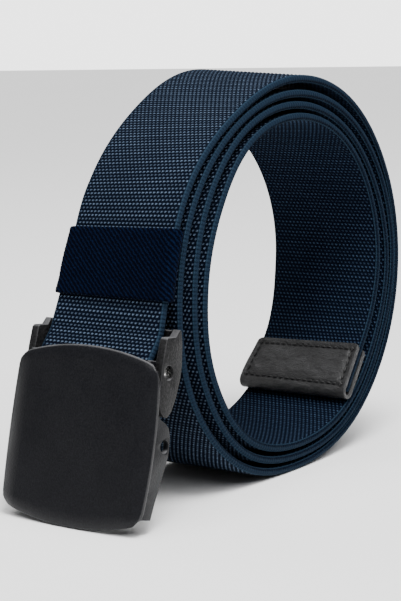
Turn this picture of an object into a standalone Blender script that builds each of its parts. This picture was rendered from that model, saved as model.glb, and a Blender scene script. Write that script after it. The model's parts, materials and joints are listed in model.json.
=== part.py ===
"""Elastic stretch belt rolled in a coil that stands on its edge, with a closed flip-lever buckle.

Lengths are in metres. The coil's axis runs along Y, +Z is up and the buckle hangs on the -X side.
The near edge of the webbing is at -Y. The strap is one long strip: it starts in a loop round the
hinge pin, runs up through the keeper, winds inwards clockwise and ends in the leather tab.
"""

from bisect import bisect_right
from math import atan2, cos, hypot, pi, radians, sin

import bmesh
import bpy
from mathutils import Matrix, Vector
from mathutils.geometry import interpolate_bezier

# Webbing
WEBBING_WIDTH = 0.038
WEBBING_THICKNESS = 0.0020
SELVAGE_ROUND = 0.0006
CLEARANCE = 0.0003

# Coil: the mean radius of the outer turn, and where the strip leaves and enters it
COIL_RADIUS = 0.055
COIL_START_CLOCK = 32.0
COIL_END_CLOCK = 3 * 360.0 + 215.0
STATION_ANGLE = 5.0
# The most that the outer turn's far edge stands further out than its near edge
FAR_EDGE_LEAN = 0.0030
LEAN_BELOW_KEEPER = -0.80
LEAN_ABOVE_KEEPER = -1.18
# The far edge stands out once more just before the end tab, over this much of the strip
TAB_LEAN = 0.0026
TAB_LEAN_RUN = 0.0240

# Buckle: its pose, overall sizes and walls
BUCKLE_LEAN = radians(13.8)
# The pin stands this far outside the coil's mean radius
PIN_STAND_OFF = 0.0104
BUCKLE_REACH = COIL_RADIUS + PIN_STAND_OFF
PIN_DROP = 0.0179
EAR_WALL = 0.0024
# Room between the webbing and each ear, where the cover's lug stands
EAR_GAP = 0.0018
BUCKLE_WIDTH = WEBBING_WIDTH + 2 * (EAR_GAP + EAR_WALL)
FACE_OUT = 0.0062
FACE_TOP = 0.0012
FACE_BOTTOM = -0.0394
TOP_BULGE = 0.0037
BOTTOM_BULGE = 0.0034
CORNER_RADIUS = 0.0030
SIDE_ROLL_WIDTH = 0.0060
SIDE_ROLL_AT_ENDS = 0.0005
SIDE_ROLL_MIDWAY = 0.0011
SIDE_OVERHANG = 0.0004
SIDE_BULGE = 0.0011
END_ROLL_WIDTH = 0.0022
END_ROLL_DEPTH = 0.0008
FACE_DOME = 0.0006
COVER_WALL = 0.0018
FLANGE_WALL = 0.0019
FLANGE_INSET = 0.00015
EAR_RELIEF = 0.0004
SWING_RELIEF = 0.00445
# The cover's inner side is cut back to here above the pin, so that it swings clear of the strap
STRAP_RELIEF_OUT = 0.00415
REAR_WALL = 0.0008
REAR_INSET = 0.0001
LUG_RADIUS = 0.0026
CROSS_HOLE = (-0.0022, -0.0188)
CROSS_HOLE_RADIUS = 0.0017
PIN_HOLE_RADIUS = 0.00185
PIN_RADIUS = 0.00155
PIN_RECESS = 0.0008

# Strap at the buckle: its place behind the face, the sewn end behind it and the straight run
STRAP_OUT = -0.0009
STRAP_SETTLED = 0.0105
SEWN_END = 0.0062
STRAIGHT_TOP = 0.0225

# Keeper loop
KEEPER_LENGTH = 0.0188
KEEPER_START = 0.0181
KEEPER_WALL = 0.0010
KEEPER_GAP = 0.0004

# End tab
TAB_LENGTH = 0.0146
LEATHER = 0.0012
STRAIGHT_END = 0.0165

# Mean radius of the webbing on each turn, as a share of COIL_RADIUS, before each turn gives up its
# own thickness and clearance to the ones outside it. The clock starts at nine and runs over the top.
# The last two columns are the lean of the outer turn and the next one, as shares of FAR_EDGE_LEAN.
COIL_TABLE = (
    # clock, turn 1, turn 2, turn 3, turn 4, lean 1, lean 2
    (0, 1.075, 1.025, 0.951, 0.907, -1.30, -0.88),
    (30, 1.035, 1.002, 0.949, 0.891, -1.10, -0.92),
    (60, 0.986, 0.978, 0.964, 0.931, -0.20, -0.10),
    (90, 1.009, 0.978, 0.962, 0.944, 0.60, 0.00),
    (120, 1.027, 0.991, 0.964, 0.953, 0.70, 0.00),
    (150, 1.009, 0.996, 0.964, 0.942, 0.35, 0.00),
    (180, 0.999, 0.998, 0.981, 0.930, 0.00, 0.00),
    (210, 1.002, 0.987, 0.973, 0.913, 0.00, 0.00),
    (240, 1.022, 1.020, 1.005, 0.922, 0.00, 0.00),
    (270, 1.033, 1.022, 1.007, 0.930, 0.00, 0.00),
    (300, 1.080, 1.051, 1.024, 0.940, 0.00, 0.00),
    (330, 1.075, 1.004, 0.969, 0.940, -0.35, 0.00),
)
RADIUS_COLUMNS = (1, 2, 3, 4)
LEAN_COLUMNS = (5, 6)

# Outlines of the buckle's side pieces as (out, up) from the hinge pin, each a share of its size
EAR_DEPTH = 0.0080
EAR_HEIGHT = 0.0228
EAR_OUTLINE = (
    # out / EAR_DEPTH, up / EAR_HEIGHT
    (0.25, 0.39),
    (0.32, 0.36),
    (0.375, 0.13),
    (0.385, -0.04),
    (0.33, -0.31),
    (0.17, -0.45),
    (-0.02, -0.50),
    (-0.20, -0.50),
    (-0.37, -0.43),
    (-0.53, -0.27),
    (-0.63, -0.03),
    (-0.63, 0.10),
    (-0.52, 0.33),
    (-0.38, 0.49),
    (-0.31, 0.50),
    (-0.14, 0.41),
    (0.05, 0.40),
)
FLANGE_DEPTH = 0.0093
FLANGE_HEIGHT = 0.0383
FLANGE_OUTLINE = (
    # out / FLANGE_DEPTH, up / FLANGE_HEIGHT
    (0.48, 0.000),
    (0.44, 0.000),
    (0.395, -0.03),
    (0.33, -0.19),
    (0.20, -0.285),
    (0.07, -0.315),
    (-0.15, -0.335),
    (-0.33, -0.365),
    (-0.43, -0.42),
    (-0.46, -0.49),
    (-0.46, -0.55),
    (-0.42, -0.60),
    (-0.24, -0.76),
    (-0.12, -0.88),
    (-0.03, -0.987),
    (0.48, -0.987),
    (0.40, -0.82),
    (0.31, -0.50),
    (0.38, -0.18),
)

MATERIALS = {
    # name: (colour, roughness, metallic)
    "webbing": ((0.020, 0.045, 0.100, 1.0), 0.85, 0.0),
    "keeper": ((0.006, 0.014, 0.045, 1.0), 0.90, 0.0),
    "cover plastic": ((0.022, 0.022, 0.024, 1.0), 0.55, 0.0),
    "frame plastic": ((0.055, 0.055, 0.058, 1.0), 0.50, 0.0),
    "steel": ((0.62, 0.62, 0.60, 1.0), 0.25, 1.0),
    "leather": ((0.030, 0.030, 0.032, 1.0), 0.50, 0.0),
}


def clear_scene():
    for obj in list(bpy.data.objects):
        bpy.data.objects.remove(obj, do_unlink=True)


def new_collection(name):
    collection = bpy.data.collections.new(name)
    bpy.context.scene.collection.children.link(collection)
    return collection


def new_material(name):
    colour, roughness, metallic = MATERIALS[name]
    material = bpy.data.materials.new(name)
    material.use_nodes = True
    shader = material.node_tree.nodes["Principled BSDF"]
    shader.inputs["Base Color"].default_value = colour
    shader.inputs["Roughness"].default_value = roughness
    shader.inputs["Metallic"].default_value = metallic
    material.diffuse_color = colour
    return material


def new_piece(name, bm, collection, material=None, origin=(0.0, 0.0, 0.0)):
    """An object from a bmesh, shaded smooth but for its sharp edges."""
    bm.transform(Matrix.Translation(origin).inverted())
    mesh = bpy.data.meshes.new(name)
    bm.to_mesh(mesh)
    bm.free()
    mesh.shade_smooth()
    mesh.set_sharp_from_angle(angle=radians(40))
    piece = bpy.data.objects.new(name, mesh)
    piece.location = origin
    collection.objects.link(piece)
    if material:
        mesh.materials.append(material)
    return piece


def face_outwards(bm):
    bm.normal_update()
    bmesh.ops.recalc_face_normals(bm, faces=bm.faces)


def thicken(piece, thickness, offset=0.0):
    solidify = piece.modifiers.new("Wall", "SOLIDIFY")
    solidify.thickness = thickness
    solidify.offset = offset
    solidify.use_even_offset = True


def round_edges(piece, width, segments=1, angle=radians(50)):
    bevel = piece.modifiers.new("Rounding", "BEVEL")
    bevel.width = width
    bevel.segments = segments
    bevel.limit_method = "ANGLE"
    bevel.angle_limit = angle


def boolean(piece, other, operation):
    cut = piece.modifiers.new(operation.title(), "BOOLEAN")
    cut.operation = operation
    cut.object = other
    cut.solver = "EXACT"


def smooth_step(share):
    share = min(max(share, 0.0), 1.0)
    return share * share * (3 - 2 * share)


def blend(first, last, share):
    return first + (last - first) * share


def table_value(step, columns):
    """The table's value at a whole step of the clock, counted on through the turns."""
    turn, row = divmod(step, len(COIL_TABLE))
    turn = min(max(turn, 0), len(columns) - 1)
    return COIL_TABLE[row][columns[turn]]


def along_clock(clock, columns):
    """The table's value after this many degrees of winding, by a Catmull-Rom curve."""
    spacing = 360.0 / len(COIL_TABLE)
    step = int(clock // spacing)
    t = clock / spacing - step
    a, b, c, d = (table_value(step + k, columns) for k in (-1, 0, 1, 2))
    return 0.5 * (
        2 * b + (c - a) * t + (2 * a - 5 * b + 4 * c - d) * t * t + (3 * b - a - 3 * c + d) * t ** 3
    )


def coil_point(clock):
    angle = pi - radians(clock)
    turns_outside = clock / 360.0
    radius = COIL_RADIUS * along_clock(clock, RADIUS_COLUMNS)
    radius -= turns_outside * (WEBBING_THICKNESS + CLEARANCE)
    return Vector((radius * cos(angle), radius * sin(angle)))


def coil_lean(clock):
    """How much further out the far edge is than the near edge. The inner turns stand straight."""
    if clock > 360.0 * len(LEAN_COLUMNS):
        return 0.0
    return FAR_EDGE_LEAN * along_clock(clock, LEAN_COLUMNS)


def end_lean(left):
    """The far edge's stand-off where this much of the strip is left before its end."""
    rise = smooth_step(1 - (left - STRAIGHT_END) / TAB_LEAN_RUN)
    return TAB_LEAN * min(rise, smooth_step(left / STRAIGHT_END))


def coil_stations():
    """Points down the middle of the strip round the coil, from the outside in."""
    count = round((COIL_END_CLOCK - COIL_START_CLOCK) / STATION_ANGLE)
    clocks = [blend(COIL_START_CLOCK, COIL_END_CLOCK, k / count) for k in range(count + 1)]
    radius = coil_point(COIL_END_CLOCK).length
    stations = []
    for clock in clocks:
        left = STRAIGHT_END + radians(COIL_END_CLOCK - clock) * radius
        stations.append((coil_point(clock), coil_lean(clock) + end_lean(left)))
    return stations


def face_edge(side, top):
    """Height of the cover's top or bottom edge at this share of its half width."""
    if top:
        return FACE_TOP + TOP_BULGE * (1 - side * side)
    return FACE_BOTTOM - BOTTOM_BULGE * (1 - side * side)


def face_half_width(up):
    """Half the face's width at this height: it swells a little midway."""
    middle, reach = (FACE_TOP + FACE_BOTTOM) / 2, (FACE_TOP - FACE_BOTTOM) / 2
    share = min(((up - middle) / reach) ** 2, 1.0)
    return BUCKLE_WIDTH / 2 + SIDE_OVERHANG + SIDE_BULGE * (1 - share)


def buckle_point(out, up):
    """The (x, z) of a place given by its distance out from the pin and up along the strap."""
    return Vector(
        (
            -BUCKLE_REACH - out * cos(BUCKLE_LEAN) + up * sin(BUCKLE_LEAN),
            -PIN_DROP + out * sin(BUCKLE_LEAN) + up * cos(BUCKLE_LEAN),
        )
    )


def buckle_matrix():
    """Turns (out, across, up) into the model's X, Y and Z."""
    origin = buckle_point(0.0, 0.0)
    return Matrix(
        (
            (-cos(BUCKLE_LEAN), 0.0, sin(BUCKLE_LEAN), origin.x),
            (0.0, -1.0, 0.0, 0.0),
            (sin(BUCKLE_LEAN), 0.0, cos(BUCKLE_LEAN), origin.y),
            (0.0, 0.0, 0.0, 1.0),
        )
    )


LOOP_RADIUS = PIN_RADIUS + CLEARANCE / 2 + WEBBING_THICKNESS / 2


def strap_out(up):
    """How far out the strap's middle lies at this height above the pin."""
    return blend(LOOP_RADIUS, STRAP_OUT, smooth_step(up / STRAP_SETTLED))


def sewn_end_out(up):
    behind = strap_out(up) - WEBBING_THICKNESS - CLEARANCE
    return blend(-LOOP_RADIUS, behind, smooth_step(up / SEWN_END))


def loop_stations():
    """The sewn end, the loop round the pin and the straight run above it, in that order."""
    end = [(sewn_end_out(up), up) for up in (SEWN_END * k / 4 for k in (4, 3, 2, 1))]
    turns = [pi + pi * k / 9 for k in range(10)]
    loop = [(LOOP_RADIUS * cos(turn), LOOP_RADIUS * sin(turn)) for turn in turns]
    run = [(strap_out(up), up) for up in (STRAP_SETTLED * k / 6 for k in range(1, 7))]
    stations = [(buckle_point(out, up), 0.0) for out, up in end + loop + run]
    for share in (0.25, 0.5, 0.75, 1.0):
        up = blend(STRAP_SETTLED, STRAIGHT_TOP, share)
        stations.append((buckle_point(STRAP_OUT, up), FAR_EDGE_LEAN * LEAN_BELOW_KEEPER * share))
    return stations


def rising_lean(share):
    """The lean on the way up through the keeper to the coil."""
    first, middle = FAR_EDGE_LEAN * LEAN_BELOW_KEEPER, FAR_EDGE_LEAN * LEAN_ABOVE_KEEPER
    if share < 0.5:
        return blend(first, middle, smooth_step(2 * share))
    return blend(middle, coil_lean(COIL_START_CLOCK), smooth_step(2 * share - 1))


def rising_stations():
    """The sweep from the top of the straight run to where the strip joins the coil."""
    low = buckle_point(STRAP_OUT, STRAIGHT_TOP)
    low_heading = (low - buckle_point(STRAP_OUT, STRAP_SETTLED)).normalized()
    high = coil_point(COIL_START_CLOCK)
    high_heading = (coil_point(COIL_START_CLOCK + 1) - high).normalized()
    reach = (high - low).length / 3
    points = interpolate_bezier(low, low + low_heading * reach, high - high_heading * reach, high, 9)
    return [(Vector(point), rising_lean(k / 8)) for k, point in enumerate(points)][1:-1]


def straight_end():
    """The last stations of the strip, straight on from the coil as the stiff tab holds it."""
    start = coil_point(COIL_END_CLOCK)
    heading = (start - coil_point(COIL_END_CLOCK - 1)).normalized()
    return [
        (start + heading * STRAIGHT_END * k / 6, end_lean(STRAIGHT_END * (1 - k / 6))) for k in range(1, 7)
    ]


def strip_stations():
    return loop_stations() + rising_stations() + coil_stations() + straight_end()


class Strip:
    """The strip's middle line, measured by the length run along it from the sewn end."""

    def __init__(self):
        self.stations = strip_stations()
        points = [point for point, _ in self.stations]
        self.lengths = [0.0]
        for before, after in zip(points, points[1:]):
            self.lengths.append(self.lengths[-1] + (after - before).length)
        self.outwards = []
        for before, after in zip(points[:1] + points, points[1:] + points[-1:]):
            along = (after - before).normalized()
            self.outwards.append(Vector((-along.y, along.x)))

    def length_at(self, point):
        """The run at the station nearest to a point."""
        nearest = min(range(len(self.stations)), key=lambda k: (self.stations[k][0] - point).length)
        return self.lengths[nearest]

    def at_station(self, k, across, away):
        """A point at a station: across the strip from its middle and away from its outer face."""
        middle, lean = self.stations[k]
        offset = self.outwards[k] * (away + lean * (across / WEBBING_WIDTH + 0.5))
        return Vector((middle.x + offset.x, across, middle.y + offset.y))

    def place(self, run, across, away):
        """The same at any run along the strip."""
        k = min(max(bisect_right(self.lengths, run), 1), len(self.lengths) - 1)
        share = (run - self.lengths[k - 1]) / (self.lengths[k] - self.lengths[k - 1])
        return blend(self.at_station(k - 1, across, away), self.at_station(k, across, away), share)


def webbing_strap(strip, collection, material):
    """The whole woven band: an open strip given its thickness and rounded selvages."""
    bm = bmesh.new()
    last = len(strip.stations) - 1
    bmesh.ops.create_grid(bm, x_segments=last, y_segments=2, size=0.5)
    for vert in bm.verts:
        vert.co = strip.at_station(round((vert.co.x + 0.5) * last), vert.co.y * WEBBING_WIDTH, 0.0)
    piece = new_piece("webbing_strap", bm, collection, material)
    thicken(piece, WEBBING_THICKNESS)
    round_edges(piece, SELVAGE_ROUND)
    return piece


def keeper_loop(strip, collection, material):
    """A flat tube round the strap, a little wider than it, that follows its lean."""
    start = strip.length_at(buckle_point(STRAP_OUT, STRAP_SETTLED)) + KEEPER_START - STRAP_SETTLED
    half_width = WEBBING_WIDTH / 2 + KEEPER_GAP + KEEPER_WALL / 2
    half_depth = WEBBING_THICKNESS / 2 + KEEPER_GAP + KEEPER_WALL / 2
    flat = half_width - half_depth
    rings, sides = 6, 16
    bm = bmesh.new()
    bmesh.ops.create_grid(bm, x_segments=sides, y_segments=rings, size=0.5)
    for vert in bm.verts:
        turn = 2 * pi * round((vert.co.x + 0.5) * sides) / sides
        run = start + KEEPER_LENGTH * (vert.co.y + 0.5)
        across = half_depth * sin(turn) + (flat if sin(turn) > 0.01 else -flat if sin(turn) < -0.01 else 0.0)
        vert.co = strip.place(run, across, half_depth * cos(turn))
    bmesh.ops.remove_doubles(bm, verts=bm.verts, dist=1e-6)
    face_outwards(bm)
    piece = new_piece("keeper_loop", bm, collection, material)
    thicken(piece, KEEPER_WALL)
    return piece


def end_tab(strip, collection, material):
    """A leather patch folded round the strip's inner end, with both flaps alike."""
    end = strip.lengths[-1]
    away = WEBBING_THICKNESS / 2 + CLEARANCE + LEATHER / 2
    turns = [pi / 2 - pi * k / 6 for k in range(7)]
    fold = [(end + away * cos(turn), away * sin(turn)) for turn in turns]
    flap = [TAB_LENGTH * k / 5 for k in (5, 4, 3, 2, 1)]
    section = [(end - back, away) for back in flap] + fold + [(end - back, -away) for back in reversed(flap)]
    bm = bmesh.new()
    bmesh.ops.create_grid(bm, x_segments=len(section) - 1, y_segments=2, size=0.5)
    for vert in bm.verts:
        run, height = section[round((vert.co.x + 0.5) * (len(section) - 1))]
        vert.co = strip.place(run, vert.co.y * (WEBBING_WIDTH + CLEARANCE), height)
    piece = new_piece("end_tab", bm, collection, material)
    thicken(piece, LEATHER)
    round_edges(piece, LEATHER / 4)
    return piece


def side_plate(outline, side, inner, outer, collection):
    """A flat side piece of the buckle: its outline extruded across from inner to outer."""
    curve = bpy.data.curves.new("side_plate", "CURVE")
    curve.dimensions = "2D"
    curve.fill_mode = "BOTH"
    curve.extrude = (outer - inner) / 2
    spline = curve.splines.new("POLY")
    spline.points.add(len(outline) - 1)
    for point, (out, up) in zip(spline.points, outline):
        point.co = (out, up, 0.0, 1.0)
    spline.use_cyclic_u = True
    guide = bpy.data.objects.new("side_plate", curve)
    collection.objects.link(guide)
    middle = side * (inner + outer) / 2
    lay = Matrix(((1, 0, 0, 0), (0, 0, 1, middle), (0, 1, 0, 0), (0, 0, 0, 1)))
    guide.matrix_world = buckle_matrix() @ lay
    bpy.context.view_layer.update()
    graph = bpy.context.evaluated_depsgraph_get()
    mesh = bpy.data.meshes.new_from_object(guide.evaluated_get(graph))
    mesh.transform(guide.matrix_world)
    bpy.data.objects.remove(guide, do_unlink=True)
    bm = bmesh.new()
    bm.from_mesh(mesh)
    bpy.data.meshes.remove(mesh)
    bmesh.ops.remove_doubles(bm, verts=bm.verts, dist=1e-6)
    face_outwards(bm)
    return bm


def box(out_range, across_range, up_range):
    """A block of the buckle between three pairs of limits."""
    bm = bmesh.new()
    bmesh.ops.create_cube(bm, size=1.0)
    spans = (out_range, across_range, up_range)
    for vert in bm.verts:
        vert.co = [blend(low, high, co + 0.5) for co, (low, high) in zip(vert.co, spans)]
    bm.transform(buckle_matrix())
    face_outwards(bm)
    return bm


def rod(out, up, radius, low, high, segments=20):
    """A round bar that lies across the buckle from low to high."""
    bm = bmesh.new()
    bmesh.ops.create_cone(
        bm, cap_ends=True, segments=segments, radius1=radius, radius2=radius, depth=high - low
    )
    lie = Matrix.Rotation(pi / 2, 4, "X")
    bm.transform(buckle_matrix() @ Matrix.Translation((out, (low + high) / 2, up)) @ lie)
    face_outwards(bm)
    return bm


def helper(name, bm, cutters):
    """A shape that is joined to a piece or cut from it, and isn't a piece itself."""
    tool = new_piece(name, bm, cutters)
    tool.hide_render = True
    tool.display_type = "WIRE"
    return tool


def roll(distance, width, depth):
    """How far the face falls back at this distance inside an edge."""
    share = min(max(1 - distance / width, 0.0), 1.0)
    return depth * share * share


def face_out(across, up):
    """How far out the cover's face lies: a slight dome that rolls back at every edge."""
    half = face_half_width(up)
    middle, reach = (FACE_TOP + FACE_BOTTOM) / 2, (FACE_TOP - FACE_BOTTOM) / 2
    roll_depth = blend(SIDE_ROLL_MIDWAY, SIDE_ROLL_AT_ENDS, min(((up - middle) / reach) ** 2, 1.0))
    side = roll(half - abs(across), SIDE_ROLL_WIDTH, roll_depth)
    top = roll(face_edge(across / half, True) - up, END_ROLL_WIDTH, END_ROLL_DEPTH)
    bottom = roll(up - face_edge(across / half, False), END_ROLL_WIDTH, END_ROLL_DEPTH)
    dome = FACE_DOME * (1 - (across / half) ** 2)
    return FACE_OUT + dome - FACE_DOME - side - max(top, bottom)


def spread(count, edge_share):
    """Even steps from -1 to 1 that are closer together near the two ends."""
    steps = [2 * k / count - 1 for k in range(count + 1)]
    return [step * (1 + edge_share * (1 - step * step)) for step in steps]


def cover_plate():
    """The cover's face as an open grid with rounded corners."""
    columns, rows = 18, 18
    across_steps = spread(columns, 0.45)
    up_steps = spread(rows, 0.45)
    bm = bmesh.new()
    bmesh.ops.create_grid(bm, x_segments=columns, y_segments=rows, size=0.5)
    for vert in bm.verts:
        side = across_steps[round((vert.co.x + 0.5) * columns)]
        end = up_steps[round((vert.co.y + 0.5) * rows)]
        across, up = rounded_place(side, end)
        vert.co = (face_out(across, up), across, up)
    bm.transform(buckle_matrix())
    return bm


def rounded_place(side, end):
    """Where a grid point lies on the face once the outline's four corners are rounded."""
    top, bottom = face_edge(side, True), face_edge(side, False)
    middle, reach = (top + bottom) / 2, (top - bottom) / 2
    up = middle + end * reach
    half = face_half_width(up)
    beyond_side = abs(side) * half - (half - CORNER_RADIUS)
    beyond_end = abs(end) * reach - (reach - CORNER_RADIUS)
    if beyond_side <= 0 or beyond_end <= 0:
        return side * half, up
    pull = max(beyond_side, beyond_end) / hypot(beyond_side, beyond_end)
    across = (half - CORNER_RADIUS + beyond_side * pull) * (1 if side > 0 else -1)
    up = middle + (reach - CORNER_RADIUS + beyond_end * pull) * (1 if end > 0 else -1)
    return across, up


def grown(outline, margin):
    """A closed outline with every point moved outwards by a margin, for one listed clockwise."""
    moved = []
    for k, (out, up) in enumerate(outline):
        before, after = outline[k - 1], outline[(k + 1) % len(outline)]
        along = Vector((after[0] - before[0], after[1] - before[1])).normalized()
        moved.append((out - along.y * margin, up + along.x * margin))
    return moved


def ear_outline():
    return [(out * EAR_DEPTH, up * EAR_HEIGHT) for out, up in EAR_OUTLINE]


def flange_outline():
    return [(out * FLANGE_DEPTH, up * FLANGE_HEIGHT) for out, up in FLANGE_OUTLINE]


def lug_outline():
    """A tongue that reaches back from the face and rounds the hinge pin."""
    front = FACE_OUT - FACE_DOME - COVER_WALL / 2
    turns = [pi / 2 + pi * k / 8 for k in range(9)]
    nose = [(LUG_RADIUS * cos(turn), LUG_RADIUS * sin(turn)) for turn in turns]
    return [(front, LUG_RADIUS)] + nose + [(front, -LUG_RADIUS)]


def buckle_cover(collection, cutters, material):
    """The flip cover: its face, two side flanges, and the lugs by which it swings on the hinge pin."""
    pin = buckle_point(0.0, 0.0)
    piece = new_piece("buckle_cover", cover_plate(), collection, material, (pin.x, 0.0, pin.y))
    thicken(piece, COVER_WALL, offset=-1.0)
    piece.modifiers.new("Flat faces", "TRIANGULATE")
    half = BUCKLE_WIDTH / 2
    ear_inner = half - EAR_WALL
    beyond_side = half + SIDE_OVERHANG + SIDE_BULGE + CLEARANCE
    lug_span = (WEBBING_WIDTH / 2 + CLEARANCE, ear_inner - 1.2 * CLEARANCE)
    reach = WEBBING_WIDTH / 2 + 2 * CLEARANCE
    strap_relief = box((0.0, STRAP_RELIEF_OUT), (-reach, reach), (-PIN_RADIUS, 2 * TOP_BULGE))
    boolean(piece, helper("strap_relief", strap_relief, cutters), "DIFFERENCE")
    for side, name in ((1, "near"), (-1, "far")):
        flange = side_plate(flange_outline(), side, half - FLANGE_WALL, half - FLANGE_INSET, cutters)
        boolean(piece, helper(f"{name}_flange", flange, cutters), "UNION")
        relief = side_plate(
            grown(ear_outline(), EAR_RELIEF), side, ear_inner - CLEARANCE, beyond_side, cutters
        )
        boolean(piece, helper(f"{name}_ear_relief", relief, cutters), "DIFFERENCE")
        span = sorted((side * (ear_inner - CLEARANCE), side * beyond_side))
        swing = rod(0.0, 0.0, SWING_RELIEF, *span, segments=32)
        boolean(piece, helper(f"{name}_swing_relief", swing, cutters), "DIFFERENCE")
        lug = side_plate(lug_outline(), side, *lug_span, cutters)
        boolean(piece, helper(f"{name}_lug", lug, cutters), "UNION")
    pin_bore = rod(0.0, 0.0, PIN_HOLE_RADIUS, -ear_inner, ear_inner)
    boolean(piece, helper("pin_bore", pin_bore, cutters), "DIFFERENCE")
    cross_hole = rod(*CROSS_HOLE, CROSS_HOLE_RADIUS, -BUCKLE_WIDTH, BUCKLE_WIDTH, segments=16)
    boolean(piece, helper("cross_hole", cross_hole, cutters), "DIFFERENCE")
    return piece


def rear_wall():
    """The wall behind the strap, just inside the back edge of the ears."""
    half = BUCKLE_WIDTH / 2 - EAR_WALL / 2
    rear = [(out + REAR_INSET, up) for out, up in ear_outline() if out < -0.35 * EAR_DEPTH]
    rear = sorted((place for place in rear if place[1] > -0.35 * EAR_HEIGHT), key=lambda place: place[1])
    bm = bmesh.new()
    bmesh.ops.create_grid(bm, x_segments=len(rear) - 1, y_segments=1, size=0.5)
    for vert in bm.verts:
        out, up = rear[round((vert.co.x + 0.5) * (len(rear) - 1))]
        vert.co = (out, vert.co.y * 2 * half, up)
    bm.transform(buckle_matrix())
    return bm


def buckle_frame(collection, cutters, material):
    """Two ears joined by the rear wall, with the holes for the hinge pin."""
    half = BUCKLE_WIDTH / 2
    piece = new_piece("buckle_frame", rear_wall(), collection, material)
    thicken(piece, REAR_WALL, offset=-1.0)
    for side, name in ((1, "near"), (-1, "far")):
        ear = side_plate(ear_outline(), side, half - EAR_WALL, half, cutters)
        boolean(piece, helper(f"{name}_ear", ear, cutters), "UNION")
    hole = rod(0.0, 0.0, PIN_HOLE_RADIUS, -BUCKLE_WIDTH, BUCKLE_WIDTH)
    boolean(piece, helper("pin_hole", hole, cutters), "DIFFERENCE")
    return piece


def hinge_pin(collection, material):
    """The steel pin through the ears and the cover's lugs, with the strap's loop round it."""
    end = BUCKLE_WIDTH / 2 - PIN_RECESS
    return new_piece("hinge_pin", rod(0.0, 0.0, PIN_RADIUS, -end, end), collection, material)


def evaluated_points(piece):
    """Every corner of the finished piece, before it is set on the floor."""
    bpy.context.view_layer.update()
    done = piece.evaluated_get(bpy.context.evaluated_depsgraph_get())
    return [done.matrix_world @ vert.co for vert in done.data.vertices]


def lowest(points, turn):
    turned = Matrix.Rotation(turn, 3, "Y")
    return min((turned @ point for point in points), key=lambda point: point.z)


def resting_turn(coil, buckle):
    """The turn about the coil's axis that brings the coil and the buckle down to one floor."""
    turn = 0.0
    for _ in range(8):
        step = lowest(coil, turn) - lowest(buckle, turn)
        turn += atan2(step.z, step.x)
    return turn


def set_on_floor(pieces, helpers):
    """Parents everything to an empty that puts the middle of the pieces' base at the origin."""
    root = bpy.data.objects.new("belt_origin", None)
    bpy.context.scene.collection.objects.link(root)
    points = {piece.name: evaluated_points(piece) for piece in pieces}
    turn = resting_turn(points["webbing_strap"], points["buckle_cover"])
    turned = [Matrix.Rotation(turn, 3, "Y") @ point for some in points.values() for point in some]
    low, high = ([pick(point[k] for point in turned) for k in range(3)] for pick in (min, max))
    root.rotation_euler.y = turn
    root.location = (-(low[0] + high[0]) / 2, -(low[1] + high[1]) / 2, -low[2])
    for obj in pieces + helpers:
        obj.parent = root


def main():
    clear_scene()
    belt = new_collection("elastic_belt")
    cutters = new_collection("cutters")
    materials = {name: new_material(name) for name in MATERIALS}
    strip = Strip()
    pieces = [
        webbing_strap(strip, belt, materials["webbing"]),
        keeper_loop(strip, belt, materials["keeper"]),
        end_tab(strip, belt, materials["leather"]),
        buckle_cover(belt, cutters, materials["cover plastic"]),
        buckle_frame(belt, cutters, materials["frame plastic"]),
        hinge_pin(belt, materials["steel"]),
    ]
    set_on_floor(pieces, list(cutters.objects))


main()
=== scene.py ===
"""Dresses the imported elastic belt: woven webbing, twill keeper, sewn leather tab, moulded buckle and a
plain studio. Lengths are in metres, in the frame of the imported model."""

import json
from bisect import bisect_right
from math import cos, hypot, pi, radians, sin

import bmesh
import bpy
from mathutils import Matrix, Vector
from mathutils.geometry import interpolate_bezier


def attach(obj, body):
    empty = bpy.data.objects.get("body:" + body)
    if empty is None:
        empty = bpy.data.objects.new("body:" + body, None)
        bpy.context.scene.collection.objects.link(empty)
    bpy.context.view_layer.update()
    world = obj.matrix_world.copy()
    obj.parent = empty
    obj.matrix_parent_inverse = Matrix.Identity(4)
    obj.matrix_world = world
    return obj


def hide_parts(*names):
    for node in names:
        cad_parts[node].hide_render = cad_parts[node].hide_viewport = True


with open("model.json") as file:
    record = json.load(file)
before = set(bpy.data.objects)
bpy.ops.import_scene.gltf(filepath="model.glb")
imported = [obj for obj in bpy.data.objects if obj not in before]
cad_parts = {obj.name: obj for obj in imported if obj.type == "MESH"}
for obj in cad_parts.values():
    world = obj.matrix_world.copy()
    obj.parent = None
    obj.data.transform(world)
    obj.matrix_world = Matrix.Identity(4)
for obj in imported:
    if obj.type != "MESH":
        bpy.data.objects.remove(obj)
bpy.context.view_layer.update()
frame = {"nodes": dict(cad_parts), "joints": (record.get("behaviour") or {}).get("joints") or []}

bl_info = {
    "name": "Elastic belt dressing",
    "version": (1, 0, 0),
    "blender": (4, 5, 0),
    "location": "3D View > Sidebar > Belt",
    "description": "Builds the belt's woven, leather and moulded surfaces around its solid model",
    "category": "Object",
}

# Webbing, as the solid model has it
WEBBING_WIDTH = 0.038
WEBBING_THICKNESS = 0.0020
CLEARANCE = 0.0003
COIL_RADIUS = 0.055
COIL_START_CLOCK = 32.0
COIL_END_CLOCK = 3 * 360.0 + 215.0
STATION_ANGLE = 1.25
FAR_EDGE_LEAN = 0.0030
LEAN_BELOW_KEEPER = -0.80
LEAN_ABOVE_KEEPER = -1.18
TAB_LEAN = 0.0026
TAB_LEAN_RUN = 0.0240

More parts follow.
